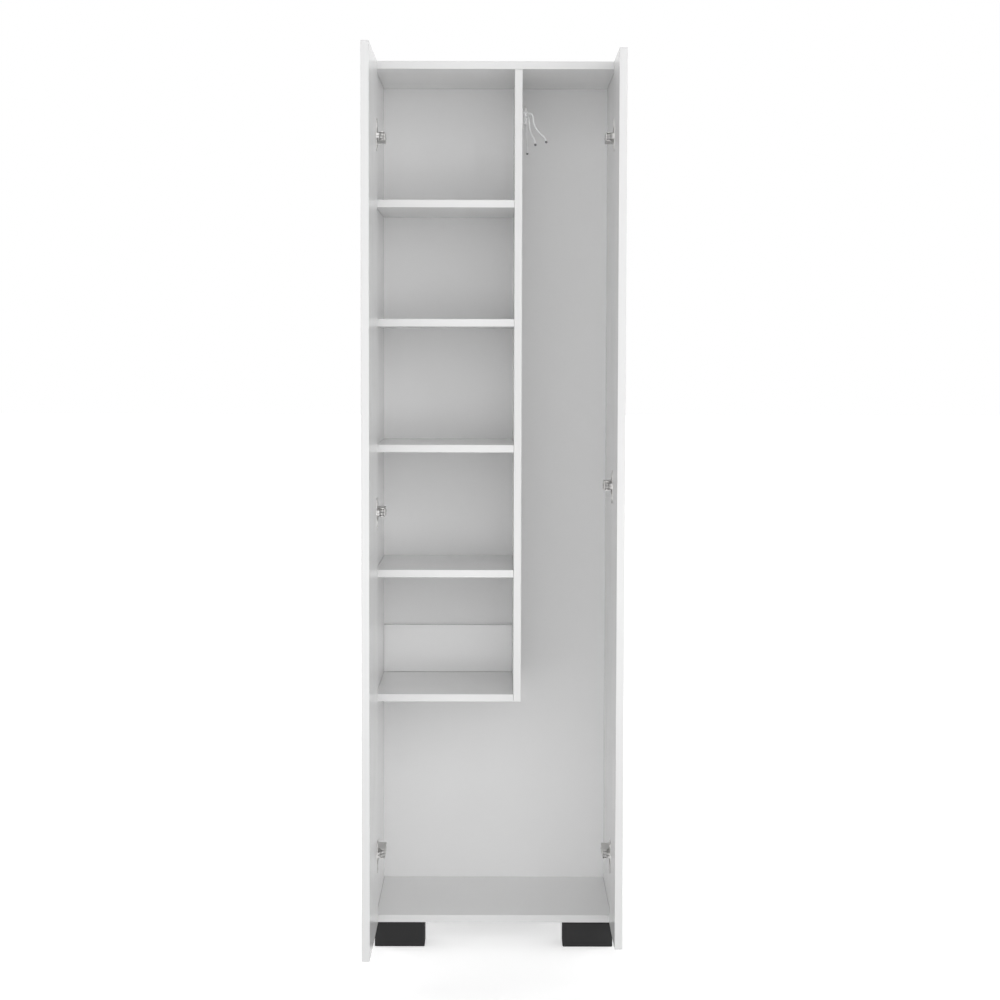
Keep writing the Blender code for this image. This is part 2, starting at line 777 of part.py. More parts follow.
def hook_wire(name, location):
    """The bent wire of a hook, out along X and down."""
    curve = bpy.data.curves.new(name, "CURVE")
    curve.dimensions = "3D"
    curve.bevel_depth = WIRE
    curve.bevel_resolution = 2
    curve.use_fill_caps = True
    curve.resolution_u = WIRE_STEPS
    spline = curve.splines.new("BEZIER")
    spline.bezier_points.add(len(HOOK_SHARES) - len(spline.bezier_points))
    for point, (out, down) in zip(spline.bezier_points, HOOK_SHARES):
        point.co = (HOOK_REACH * out, 0, -HOOK_DROP * down)
        point.handle_left_type = point.handle_right_type = "AUTO"
    spline.bezier_points[-1].handle_left_type = "VECTOR"
    spline.bezier_points[-2].handle_right_type = "VECTOR"
    return curve_mesh(name, curve, location)


def hook_arm(word, bearing, level):
    """A wire on a round eye that swivels on the hanger's pin."""
    name = f"{word}_hook_arm"
    height = level * (HOOK_EYE_HEIGHT + FIT) + HOOK_EYE_HEIGHT / 2
    origin = hanger_place(HANGER_STANDOFF, height)
    eye = cylinder(name, HOOK_EYE, HOOK_EYE_HEIGHT, origin, 2 * PIN_STEPS)
    wire = hook_wire(name + "_wire", origin)
    bore = cylinder(name + "_bore", HANGER_PIN + FIT, HOOK_EYE_HEIGHT + OVERRUN, origin)
    combine(eye, wire, "UNION")
    combine(eye, bore, "DIFFERENCE")
    for piece in (eye, wire, bore):
        piece.rotation_euler = (0, 0, QUARTER_TURN - math.radians(bearing))
    return finish(eye, white_lacquer)


def hook_tip(word, arm):
    """The soft cap on the end of a hook's wire."""
    before, last = HOOK_SHARES[-2:]
    end = Vector((HOOK_REACH * last[0], 0, -HOOK_DROP * last[1]))
    heading = end - Vector((HOOK_REACH * before[0], 0, -HOOK_DROP * before[1]))
    bore, dome = WIRE + FIT, TIP_LENGTH - TIP
    profile = [
        (0, TIP_COVER + FIT),
        (bore, TIP_COVER + FIT),
        (bore, 0),
        (TIP, 0),
        *[(x, y) for x, y in arc((0, dome), TIP, 0, 1, ARC_STEPS // 2)],
    ]
    tip = turned_solid(f"{word}_hook_tip", profile, (0, 0, 0), PIN_STEPS)
    local = Matrix.Translation(end - heading.normalized() * TIP_COVER)
    local @= heading.to_track_quat("Z", "Y").to_matrix().to_4x4()
    bpy.context.view_layer.update()
    tip.parent = arm
    tip.matrix_local = local
    return finish(tip, dark_rubber)


def swivel_hanger():
    hanger_bracket()
    hanger_pin()
    for level, (word, bearing) in enumerate(HOOK_BEARINGS.items()):
        arm = hook_arm(word, bearing, level)
        hook_tip(word, arm)


def main():
    clear_scene()
    outer_boards()
    back_panel()
    divider()
    shelves()
    rear_stretcher()
    feet()
    hung_door("left", 1, LEFT_DOOR_WIDTH, LEFT_MIDDLE_HINGE)
    hung_door("right", -1, RIGHT_DOOR_WIDTH, RIGHT_MIDDLE_HINGE)
    swivel_hanger()
    for obj in PARTS.objects:
        if obj.type == "MESH":
            smooth(obj)
            close_seams(obj)


main()
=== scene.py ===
"""Looks of a tall two-door bathroom cabinet: its finishes, its screw heads, the studio and the camera.

Sizes are in metres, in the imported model's own frame, with both doors open at rest.
"""

import logging
import math
from collections.abc import Iterable, Sequence
from dataclasses import dataclass
from enum import Enum
from typing import TypeAlias

import bmesh
import bpy
from mathutils import Matrix, Vector


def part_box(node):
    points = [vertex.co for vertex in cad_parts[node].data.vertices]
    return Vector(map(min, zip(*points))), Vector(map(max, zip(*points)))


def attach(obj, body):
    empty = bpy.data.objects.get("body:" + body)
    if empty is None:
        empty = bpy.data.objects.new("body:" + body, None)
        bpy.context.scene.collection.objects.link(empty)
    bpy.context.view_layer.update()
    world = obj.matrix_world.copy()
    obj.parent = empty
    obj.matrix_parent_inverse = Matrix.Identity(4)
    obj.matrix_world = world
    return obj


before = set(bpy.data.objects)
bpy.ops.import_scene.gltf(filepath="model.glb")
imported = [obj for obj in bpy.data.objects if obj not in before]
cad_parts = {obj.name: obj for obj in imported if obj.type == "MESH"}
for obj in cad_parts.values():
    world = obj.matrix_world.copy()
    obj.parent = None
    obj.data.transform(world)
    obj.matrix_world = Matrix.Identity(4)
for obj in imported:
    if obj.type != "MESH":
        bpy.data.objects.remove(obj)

LOG = logging.getLogger("tall_cabinet")
MM = 0.001
SHARP_ANGLE = math.radians(35)
WELD = 0.001 * MM
NOISE_MIDDLE = 0.5
FULL_WHITE = 1.0
Colour: TypeAlias = tuple[float, float, float]
Value: TypeAlias = "Socket | float"


class Side(Enum):
    """The side of the cabinet that a door hangs on, with the sign that points from the middle to it."""

    LEFT = -1
    RIGHT = 1

    @property
    def word(self) -> str:
        """The side's name as the nodes use it."""
        return self.name.lower()

    @property
    def inward(self) -> Vector:
        """The direction from this side towards the middle of the cabinet."""
        return Vector((-self.value, 0, 0))


class Level(Enum):
    """The three hinges of a door, from the bottom up."""

    LOWER = "lower"
    MIDDLE = "middle"
    UPPER = "upper"


class Hook(Enum):
    """The three wire hooks of the hanger."""

    FRONT = "front"
    MIDDLE = "middle"
    BACK = "back"


class Detail(Enum):
    """How many finer layers a noise has."""

    PLAIN = 1
    SOFT = 2
    FINE = 3


class MixSocket(Enum):
    """Where a Mix node that blends colours has its sockets, since several of them share a name."""

    FACTOR = 0
    FIRST = 6
    SECOND = 7
    RESULT = 2


# Shader building


class Socket:
    """A shader output that takes part in Python expressions."""

    def __init__(self, graph: "NodeGraph", link: bpy.types.NodeSocket) -> None:
        """Wraps one output socket of the graph."""
        self.graph = graph
        self.link = link

    def __add__(self, other: Value) -> "Socket":
        """This value plus another."""
        return self.graph.maths("ADD", self, other)

    def __radd__(self, other: Value) -> "Socket":
        """Another value plus this one."""
        return self.graph.maths("ADD", other, self)

    def __sub__(self, other: Value) -> "Socket":
        """This value less another."""
        return self.graph.maths("SUBTRACT", self, other)

    def __rsub__(self, other: Value) -> "Socket":
        """Another value less this one."""
        return self.graph.maths("SUBTRACT", other, self)

    def __mul__(self, other: Value) -> "Socket":
        """This value times another."""
        return self.graph.maths("MULTIPLY", self, other)

    def __rmul__(self, other: Value) -> "Socket":
        """Another value times this one."""
        return self.graph.maths("MULTIPLY", other, self)

    def __abs__(self) -> "Socket":
        """This value without its sign."""
        return self.graph.maths("ABSOLUTE", self)

    def below(self, limit: float) -> "Socket":
        """One where this value is under the limit, else zero."""
        return self.graph.maths("LESS_THAN", self, limit)

    def or_else(self, other: Value) -> "Socket":
        """The larger of this value and another."""
        return self.graph.maths("MAXIMUM", self, other)

    def swing(self, amount: float) -> "Socket":
        """This noise as a swing about nought, an amount wide."""
        return (self - NOISE_MIDDLE) * amount

    def shared_with(self, other: "Socket", share: float) -> "Socket":
        """This noise and another, which has the given share of the two."""
        return (1 - share) * self + share * other


class NodeGraph:
    """The nodes of one shader tree."""

    def __init__(self, tree: bpy.types.NodeTree) -> None:
        """Takes the tree that the nodes go into."""
        self.tree = tree

    def node(
        self,
        kind: str,
        settings: dict[str, object] | None = None,
        inputs: dict[str | int, object] | None = None,
    ) -> bpy.types.Node:
        """Adds a node.

        Args:
            kind: The node's type name.
            settings: Its own settings, set before its sockets.
            inputs: Values or links for its input sockets, by name or number.

        Returns:
            The new node.
        """
        node = self.tree.nodes.new(kind)
        for name, value in (settings or {}).items():
            setattr(node, name, value)
        for name, value in (inputs or {}).items():
            self.feed(node.inputs[name], value)
        return node

    def feed(self, target: bpy.types.NodeSocket, value: object) -> None:
        """Gives an input socket what it takes.

        Args:
            target: The input socket.
            value: A Socket, which is linked, or the input's own value.
        """
        if isinstance(value, Socket):
            self.tree.links.new(value.link, target)
        else:
            target.default_value = value

    def out(self, node: bpy.types.Node, name: str | int = 0) -> Socket:
        """One output of a node, ready for expressions."""
        return Socket(self, node.outputs[name])

    def maths(self, operation: str, *values: Value) -> Socket:
        """A Math node on the values."""
        inputs = dict(enumerate(values))
        return self.out(self.node("ShaderNodeMath", {"operation": operation}, inputs))

    def looked_at(self) -> Socket:
        """Tells rays that are looked along from rays that carry light.

        Returns:
            One for the camera's rays, reflections and rays through glass, and zero for the rest.
        """
        path = self.node("ShaderNodeLightPath")
        seen = self.out(path, "Is Camera Ray").or_else(self.out(path, "Is Glossy Ray"))
        return seen.or_else(self.out(path, "Is Transmission Ray"))


class ShaderGraph(NodeGraph):
    """The nodes of one material, ending in its Principled shader."""

    def __init__(self, name: str) -> None:
        """Starts a material.

        Args:
            name: The material's name.
        """
        self.material = bpy.data.materials.new(name)
        self.material.use_nodes = True
        super().__init__(self.material.node_tree)
        self.shader = self.tree.nodes["Principled BSDF"]

    def place(self) -> Socket:
        """The point on the object, in metres, which moves with the piece."""
        return self.out(self.node("ShaderNodeTexCoord"), "Object")

    def along(self, axis: str) -> Socket:
        """One coordinate of the point on the object."""
        split = self.node("ShaderNodeSeparateXYZ", inputs={"Vector": self.place()})
        return self.out(split, axis)

    def stretched(self, scale: Sequence[float]) -> Socket:
        """Scales the point on the object unevenly.

        Args:
            scale: The factor along each axis.

        Returns:
            The scaled point.
        """
        settings = {"vector_type": "POINT"}
        inputs = {"Vector": self.place(), "Scale": tuple(scale)}
        return self.out(self.node("ShaderNodeMapping", settings, inputs))

    def noise(
        self,
        size: float,
        detail: Detail = Detail.SOFT,
        stretch: Sequence[float] | None = None,
    ) -> Socket:
        """Makes cloudy noise from 0 to 1.

        Args:
            size: The size of its blots, in metres.
            detail: How many finer layers it has.
            stretch: An uneven scale, for streaks.

        Returns:
            The noise value.
        """
        where = self.stretched(stretch) if stretch else self.place()
        inputs = {"Vector": where, "Scale": 1 / size, "Detail": detail.value}
        return self.out(self.node("ShaderNodeTexNoise", inputs=inputs), "Fac")

    def mix_colour(self, factor: Value, first: object, second: object) -> Socket:
        """Blends two colours.

        Args:
            factor: How much of the second colour there is, from 0 to 1.
            first: A Socket or a colour with alpha.
            second: A Socket or a colour with alpha.

        Returns:
            The blended colour.
        """
        inputs = {
            MixSocket.FACTOR.value: factor,
            MixSocket.FIRST.value: first,
            MixSocket.SECOND.value: second,
        }
        mix = self.node("ShaderNodeMix", {"data_type": "RGBA"}, inputs)
        return self.out(mix, MixSocket.RESULT.value)

    def bump(self, height: Socket, distance: float) -> None:
        """Bends the surface's normal by a height.

        Args:
            height: The height, from 0 to 1.
            distance: How deep a height of 1 is, in metres.
        """
        inputs = {"Height": height, "Distance": distance}
        bump = self.out(self.node("ShaderNodeBump", inputs=inputs))
        self.feed(self.shader.inputs["Normal"], bump)

    def surface(self, **values: object) -> bpy.types.Material:
        """Feeds the Principled shader.

        Args:
            **values: What its inputs take, named with underscores for spaces.

        Returns:
            The finished material.
        """
        for name, value in values.items():
            self.feed(self.shader.inputs[name.replace("_", " ")], value)
        return self.material


def opaque(colour: Colour) -> tuple[float, float, float, float]:
    """A colour with full alpha, as a socket takes it."""
    return (*colour, 1.0)


def shade(colour: Colour, share: float) -> Colour:
    """A colour at a share of its strength, or over it up to white."""
    return tuple(min(FULL_WHITE, share * part) for part in colour)


# Finishes


@dataclass(frozen=True)
class Band:
    """An edge band: the axis it faces along, where its outer face lies, and which way it faces."""

    axis: str
    face: float
    facing: int

    def depth(self, graph: ShaderGraph) -> Socket:
        """How far the point lies under the band's outer face."""
        return (self.face - graph.along(self.axis)) * float(self.facing)


@dataclass(frozen=True)
class BoardFinish:
    """White melamine-faced board, with thin edge bands and a hairline where each meets the face."""

    name: str
    bands: tuple[Band, ...]
    colour: Colour = (0.91, 0.91, 0.91)
    band_colour: Colour = (0.78, 0.78, 0.78)
    seam_colour: Colour = (0.62, 0.62, 0.62)
    band_thickness: float = 0.8 * MM
    seam_width: float = 0.07 * MM
    roughness: float = 0.22
    pearl: float = 0.9 * MM
    pearl_depth: float = 0.004 * MM
    pearl_swing: float = 0.10
    cloud: float = 120 * MM
    cloud_shade: float = 0.975
    cloud_swing: float = 0.06

    def banded(self, graph: ShaderGraph, base: Socket) -> Socket:
        """Lays every band and its hairline over the face's colour.

        Args:
            graph: The material's nodes.
            base: The colour of the face.

        Returns:
            The colour of the face and the edges.
        """
        for band in self.bands:
            depth = band.depth(graph)
            on_band = depth.below(self.band_thickness)
            base = graph.mix_colour(on_band, base, opaque(self.band_colour))
            on_seam = abs(depth - self.band_thickness).below(self.seam_width)
            base = graph.mix_colour(on_seam, base, opaque(self.seam_colour))
        return base

    def material(self) -> bpy.types.Material:
        """Builds the board's material.

        Returns:
            The new material.
        """
        graph = ShaderGraph(self.name)
        cloud = graph.noise(self.cloud, Detail.FINE)
        pearl = graph.noise(self.pearl, Detail.PLAIN)
        graph.bump(pearl, self.pearl_depth)
        clouded = opaque(shade(self.colour, self.cloud_shade))
        base = graph.mix_colour(cloud, opaque(self.colour), clouded)
        rough = self.roughness + pearl.swing(self.pearl_swing) + cloud.swing(self.cloud_swing)
        return graph.surface(Base_Color=self.banded(graph, base), Roughness=rough)


@dataclass(frozen=True)
class BackFinish:
    """Thin fibreboard with a printed white face: flatter than melamine, with a faint pressed grain."""

    name: str = "white_back_face"
    colour: Colour = (0.91, 0.91, 0.91)
    roughness: float = 0.50
    fibre: float = 1.6 * MM
    fibre_depth: float = 0.006 * MM
    fibre_share: float = 0.4
    fibre_swing: float = 0.12
    cloud: float = 150 * MM
    cloud_shade: float = 0.97

    def material(self) -> bpy.types.Material:
        """Builds the back panel's material.

        Returns:
            The new material.
        """
        graph = ShaderGraph(self.name)
        fibre = graph.noise(self.fibre, Detail.FINE)
        cloud = graph.noise(self.cloud)
        graph.bump(fibre, self.fibre_depth)
        clouded = opaque(shade(self.colour, self.cloud_shade))
        blots = cloud.shared_with(fibre, self.fibre_share)
        base = graph.mix_colour(blots, opaque(self.colour), clouded)
        rough = self.roughness + fibre.swing(self.fibre_swing)
        return graph.surface(Base_Color=base, Roughness=rough)


@dataclass(frozen=True)
class SteelFinish:
    """Pressed and plated steel: rolling streaks and a little mottling."""

    name: str
    colour: Colour
    dull_colour: Colour
    roughness: float
    mottle: float = 4 * MM
    mottle_swing: float = 0.16
    streak: float = 0.7 * MM
    streak_stretch: tuple[float, float, float] = (1, 0.12, 1)
    streak_depth: float = 0.003 * MM
    streak_share: float = 0.3
    streak_swing: float = 0.12

    def material(self) -> bpy.types.Material:
        """Builds the steel's material.

        Returns:
            The new material.
        """
        graph = ShaderGraph(self.name)
        mottle = graph.noise(self.mottle, Detail.FINE)
        streak = graph.noise(self.streak, stretch=self.streak_stretch)
        graph.bump(streak, self.streak_depth)
        blots = mottle.shared_with(streak, self.streak_share)
        base = graph.mix_colour(blots, opaque(self.colour), opaque(self.dull_colour))
        rough = self.roughness + mottle.swing(self.mottle_swing) + streak.swing(self.streak_swing)
        return graph.surface(Base_Color=base, Metallic=1.0, Roughness=rough)


@dataclass(frozen=True)
class MouldedFinish:
    """Moulded plastic, powder coat or rubber: one colour with a grain of its own size and depth."""

    name: str
    colour: Colour
    roughness: float
    grain: float
    grain_depth: float
    rubbed_shade: float = 1.12
    specular: float = 0.5
    grain_swing: float = 0.14
    rub: float = 30 * MM
    rub_share: float = 0.5
    rub_swing: float = 0.10

    def material(self) -> bpy.types.Material:
        """Builds the material.

        Returns:
            The new material.
        """
        graph = ShaderGraph(self.name)
        grain = graph.noise(self.grain)
        rub = graph.noise(self.rub)
        graph.bump(grain, self.grain_depth)
        rubbed = opaque(shade(self.colour, self.rubbed_shade))
        base = graph.mix_colour(grain.shared_with(rub, self.rub_share), opaque(self.colour), rubbed)
        rough = self.roughness + grain.swing(self.grain_swing) + rub.swing(self.rub_swing)
        return graph.surface(Base_Color=base, Roughness=rough, Specular_IOR_Level=self.specular)


NICKEL_PLATE = SteelFinish(
    "nickel_plate",
    colour=(0.62, 0.61, 0.60),
    dull_colour=(0.47, 0.465, 0.455),
    roughness=0.38,
)
TUMBLED_STEEL = SteelFinish(
    "tumbled_steel",
    colour=(0.66, 0.655, 0.645),
    dull_colour=(0.54, 0.535, 0.53),
    roughness=0.52,
)
BLACK_PLASTIC = MouldedFinish(
    "black_moulded_plastic",
    colour=(0.018, 0.018, 0.0185),
    roughness=0.62,
    grain=0.7 * MM,
    grain_depth=0.02 * MM,
    specular=0.25,
)
WHITE_LACQUER = MouldedFinish(
    "white_powder_coat",
    colour=(0.90, 0.90, 0.905),
    roughness=0.30,
    grain=0.5 * MM,
    grain_depth=0.006 * MM,
    rubbed_shade=0.97,
)
DARK_RUBBER = MouldedFinish(
    "dark_grey_rubber",
    colour=(0.16, 0.16, 0.165),
    roughness=0.65,
    grain=0.3 * MM,
    grain_depth=0.01 * MM,
    specular=0.3,
)


# Meshes


def smooth(mesh: bpy.types.Mesh) -> None:
    """Shades a mesh smooth but for its sharp edges."""
    mesh.shade_smooth()
    mesh.set_sharp_from_angle(angle=SHARP_ANGLE)


def object_from(shape: bmesh.types.BMesh, name: str) -> bpy.types.Object:
    """Turns a bmesh into a linked object and frees the bmesh.

    Args:
        shape: The finished bmesh.
        name: The object's name.

    Returns:
        The new object, smooth but for its sharp edges.
    """
    mesh = bpy.data.meshes.new(name)
    shape.to_mesh(mesh)
    shape.free()
    smooth(mesh)
    obj = bpy.data.objects.new(name, mesh)
    bpy.context.scene.collection.objects.link(obj)
    return obj


def dress(node: str, material: bpy.types.Material) -> None:
    """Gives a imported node's object a material of this scene.

    Args:
        node: The node's name.
        material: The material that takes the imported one's place.
    """
    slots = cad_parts[node].data.materials
    slots.clear()
    slots.append(material)


@dataclass
class ScrewPattern:
    """A small cross-recess screw head, built once and placed many times."""

    name: str
    material: bpy.types.Material
    radius: float = 3.2 * MM
    height: float = 1.5 * MM
    rim: float = 0.4 * MM
    recess: float = 1.9 * MM
    recess_width: float = 0.75 * MM
    recess_depth: float = 1.0 * MM
    recess_taper: float = 0.55
    steps: int = 28
    dome_steps: int = 5
    spin_step: float = 0.37

    def profile(self) -> list[tuple[float, float]]:
        """Draws half of the domed head.

        Returns:
            Radius and height of each point, from the middle of its foot to the middle of its top.
        """
        rise = self.height - self.rim
        turns = [math.pi / 2 * step / self.dome_steps for step in range(self.dome_steps + 1)]
        dome = [(self.radius * math.cos(a), self.rim + rise * math.sin(a)) for a in turns]
        return [(0.0, 0.0), (self.radius, 0.0), *dome]

    def turned_head(self) -> bpy.types.Object:
        """Turns the head from its profile.

        Returns:
            The head without its recess.
        """
        shape = bmesh.new()
        points = [shape.verts.new((radius, 0, height)) for radius, height in self.profile()]
        edges = [shape.edges.new(pair) for pair in zip(points, points[1:])]
        bmesh.ops.spin(
            shape,
            geom=points + edges,
            axis=(0, 0, 1),
            cent=(0, 0, 0),
            angle=2 * math.pi,
            steps=self.steps,
            use_merge=True,
        )
        bmesh.ops.remove_doubles(shape, verts=shape.verts, dist=WELD)
        bmesh.ops.recalc_face_normals(shape, faces=shape.faces)
        return object_from(shape, self.name)

    def cross(self) -> bpy.types.Object:
        """Makes the tapered cross that the driver's recess is cut with.

        Returns:
            The cross, standing half out of the head's top.
        """
        shape = bmesh.new()
        size = Matrix.Diagonal((2 * self.recess, self.recess_width, 2 * self.recess_depth, 1))
        lift = Matrix.Translation((0, 0, self.height))
        for turn in (0, math.pi / 2):
            bar = lift @ Matrix.Rotation(turn, 4, "Z") @ size
            bmesh.ops.create_cube(shape, size=1, matrix=bar)
        for vert in shape.verts:
            if vert.co.z < self.height:
                vert.co.x *= self.recess_taper
                vert.co.y *= self.recess_taper
        return object_from(shape, self.name + "_recess")

    def mesh(self) -> bpy.types.Mesh:
        """Cuts the recess into the head.

        Returns:
            The mesh that all screws of this pattern share.
        """
        head, cross = self.turned_head(), self.cross()
        cut = head.modifiers.new("recess", "BOOLEAN")
        cut.operation = "DIFFERENCE"
        cut.solver = "EXACT"
        cut.use_self = True
        cut.object = cross
        bpy.context.view_layer.update()
        graph = bpy.context.evaluated_depsgraph_get()
        mesh = bpy.data.meshes.new_from_object(head.evaluated_get(graph))
        smooth(mesh)
        mesh.materials.clear()
        mesh.materials.append(self.material)
        bpy.data.objects.remove(head)
        bpy.data.objects.remove(cross)
        return mesh

    def put(
        self, mesh: bpy.types.Mesh, name: str, place: Vector, facing: Vector, body: str
    ) -> None:
        """Seats one screw, with its cross turned a way of its own.

        Args:
            mesh: The shared mesh.
            name: The new object's name, whose length sets how far the cross is turned.
            place: The middle of the head's foot.
            facing: The direction that its top faces.
            body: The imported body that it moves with.
        """
        screw = bpy.data.objects.new(name, mesh)
        bpy.context.scene.collection.objects.link(screw)
        turn = facing.to_track_quat("Z", "Y").to_matrix().to_4x4()
        spin = Matrix.Rotation(self.spin_step * len(name), 4, "Z")
        screw.matrix_world = Matrix.Translation(place) @ turn @ spin
        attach(screw, body)


# Sub-assemblies


@dataclass
class Carcass:
    """The fixed boards: sides, top, bottom, divider, shelves, stretcher and back."""

    shelf_count: int = 5

    def boards(self) -> list[str]:
        """Lists the boards.

        Returns:
            The names of the nodes made of melamine board.
        """
        outer = ["left_side_panel", "right_side_panel", "top_panel", "bottom_panel"]
        shelves = [f"shelf_{number}" for number in range(1, self.shelf_count + 1)]
        return [*outer, "divider_panel", "rear_stretcher", *shelves]

    def dress(self) -> None:
        """Gives each board its melamine with a front edge band, and the back its own face."""
        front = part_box("bottom_panel")[0].y
        bands = (Band("Y", front, facing=-1),)
        banded = BoardFinish("white_melamine_board", bands).material()
        for name in self.boards():
            dress(name, banded)
        dress("back_panel", BackFinish().material())
        LOG.info("carcass: %d boards and a back", len(self.boards()))


@dataclass
class Feet:
    """The block feet, a pair in each row."""

    rows: tuple[str, ...] = ("front", "rear")

    def dress(self) -> None:
        """Gives each foot its black moulded plastic."""
        plastic = BLACK_PLASTIC.material()
        for row in self.rows:
            for side in Side:
                dress(f"{row}_{side.word}_foot", plastic)
        LOG.info("feet: %d blocks", len(self.rows) * len(Side))


@dataclass
class Door:
    """One door leaf, with a band on each of its four edges."""

    side: Side

    def dress(self) -> None:
        """Gives the leaf its melamine, with a hairline along each band."""
        name = f"{self.side.word}_door"
        low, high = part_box(name)
        bands = (
            Band("Y", low.y, facing=-1),
            Band("Y", high.y, facing=1),
            Band("Z", low.z, facing=-1),
            Band("Z", high.z, facing=1),
        )
        dress(name, BoardFinish(f"white_melamine_{name}", bands).material())
        LOG.info("%s: leaf %.0f mm high", name, (high.z - low.z) / MM)


@dataclass
class Hinges:
    """The three concealed hinges of one door, with their screws."""

    side: Side
    steel: bpy.types.Material
    link_steel: bpy.types.Material
    small_screw: ScrewPattern
    large_screw: ScrewPattern
    flange_spacing: float = 48 * MM
    flange_offset: float = 6 * MM
    plate_spacing: float = 32 * MM
    plate_thickness: float = 1.6 * MM
    adjuster_setback: float = 13 * MM
    clamp_inset: float = 13 * MM

    def inner_face(self, node: str) -> float:
        """The x of a node's face that is nearest the middle of the cabinet."""
        low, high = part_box(node)
        return low.x if self.side is Side.RIGHT else high.x

    def outer_face(self, node: str) -> float:
        """The x of a node's face that is nearest the cabinet's side."""
        low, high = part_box(node)
        return high.x if self.side is Side.RIGHT else low.x

    def dress_steel(self, stem: str) -> None:
        """Plates the pressed pieces of one hinge, and gives its links their tumbled finish.

        Args:
            stem: The door's side and the hinge's level, as the nodes' names start.
        """
        for piece in ("hinge_cup", "hinge_arm", "hinge_plate"):
            dress(f"{stem}_{piece}", self.steel)
        for piece in ("inner_link", "outer_link"):
            dress(f"{stem}_{piece}", self.link_steel)

    def screw_flange(self, stem: str, mesh: bpy.types.Mesh) -> None:
        """Puts the two screws through the cup's ears into the door.

        Args:
            stem: The door's side and the hinge's level.
            mesh: The shared mesh of the small screws.
        """
        cup = f"{stem}_hinge_cup"
        low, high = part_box(cup)
        middle = (low + high) / 2
        across = middle.y - self.flange_offset
        for word, row in (("lower", -1), ("upper", 1)):
            up = middle.z + row * self.flange_spacing / 2
            spot = Vector((self.inner_face(cup), across, up))
            name = f"{stem}_flange_screw_{word}"
            self.small_screw.put(mesh, name, spot, self.side.inward, f"{self.side.word}_door_leaf")

    def screw_plate(self, stem: str, mesh: bpy.types.Mesh) -> None:
        """Puts the two screws through the plate's ears into the side panel.

        Args:
            stem: The door's side and the hinge's level.
            mesh: The shared mesh of the large screws.
        """
        plate = f"{stem}_hinge_plate"
        low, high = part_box(plate)
        middle = (low + high) / 2
        face = self.outer_face(plate) + self.side.inward.x * self.plate_thickness
        for word, row in (("lower", -1), ("upper", 1)):
            spot = Vector((face, middle.y, middle.z + row * self.plate_spacing / 2))
            name = f"{stem}_plate_screw_{word}"
            self.large_screw.put(mesh, name, spot, self.side.inward, "cabinet")

    def screw_arm(self, stem: str, mesh: bpy.types.Mesh) -> None:
        """Puts the side adjuster and the clamp screw in the arm's web.

        Args:
            stem: The door's side and the hinge's level.
            mesh: The shared mesh of the small screws.
        """
        arm = f"{stem}_hinge_arm"
        low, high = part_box(arm)
        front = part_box("bottom_panel")[0].y
        places = {"adjuster": front + self.adjuster_setback, "clamp": high.y - self.clamp_inset}
        for word, across in places.items():
            spot = Vector((self.inner_face(arm), across, (low.z + high.z) / 2))
            self.small_screw.put(mesh, f"{stem}_{word}_screw", spot, self.side.inward, "cabinet")

    def build(self, small_mesh: bpy.types.Mesh, large_mesh: bpy.types.Mesh) -> None:
        """Dresses and screws all three hinges.

        Args:
            small_mesh: The shared mesh of the small screws.
            large_mesh: The shared mesh of the large screws.
        """
        for level in Level:
            stem = f"{self.side.word}_{level.value}"
            self.dress_steel(stem)
            self.screw_flange(stem, small_mesh)
            self.screw_plate(stem, large_mesh)
            self.screw_arm(stem, small_mesh)
        LOG.info("%s hinges: %d, with six screws each", self.side.word, len(Level))


@dataclass
class Hanger:
    """The swivel hanger with its three hooks."""

    steel: bpy.types.Material
    screw: ScrewPattern
    sheet: float = 1.5 * MM
    lower_inset: float = 5 * MM
    upper_inset: float = 3 * MM

    def fasten(self, mesh: bpy.types.Mesh) -> None:
        """Puts a screw through each tab of the bracket.

        Args:
            mesh: The shared mesh of the screws.
        """
        low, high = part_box("hanger_bracket")
        places = {"lower": low.z + self.lower_inset, "upper": high.z - self.upper_inset}
        for word, up in places.items():
            spot = Vector((low.x + self.sheet, (low.y + high.y) / 2, up))
            self.screw.put(mesh, f"hanger_{word}_screw", spot, Vector((1, 0, 0)), "cabinet")

    def build(self, mesh: bpy.types.Mesh) -> None:
        """Dresses the bracket, the pin and the hooks, and adds the screws.

        Args:
            mesh: The shared mesh of the screws.
        """
        lacquer, rubber = WHITE_LACQUER.material(), DARK_RUBBER.material()
        dress("hanger_bracket", lacquer)
        dress("hanger_pin", self.steel)
        for hook in Hook:
            dress(f"{hook.value}_hook_arm", lacquer)
            dress(f"{hook.value}_hook_tip", rubber)
        self.fasten(mesh)
        LOG.info("hanger: bracket, pin and %d hooks", len(Hook))


# Studio


@dataclass(frozen=True)
class Softbox:
    """A rectangular area light, aimed at the cabinet."""

    name: str
    place: tuple[float, float, float]
    watts: float
    width: float
    height: float
    target: tuple[float, float, float] = (0.0, 0.0, 0.9)

    def build(self) -> None:
        """Hangs the light."""
        light = bpy.data.lights.new(self.name, "AREA")
        light.shape = "RECTANGLE"
        light.size = self.width
        light.size_y = self.height
        light.energy = self.watts
        lamp = bpy.data.objects.new(self.name, light)
        lamp.location = self.place
        aim = Vector(self.target) - lamp.location
        lamp.rotation_euler = aim.to_track_quat("-Z", "Y").to_euler()
        bpy.context.scene.collection.objects.link(lamp)


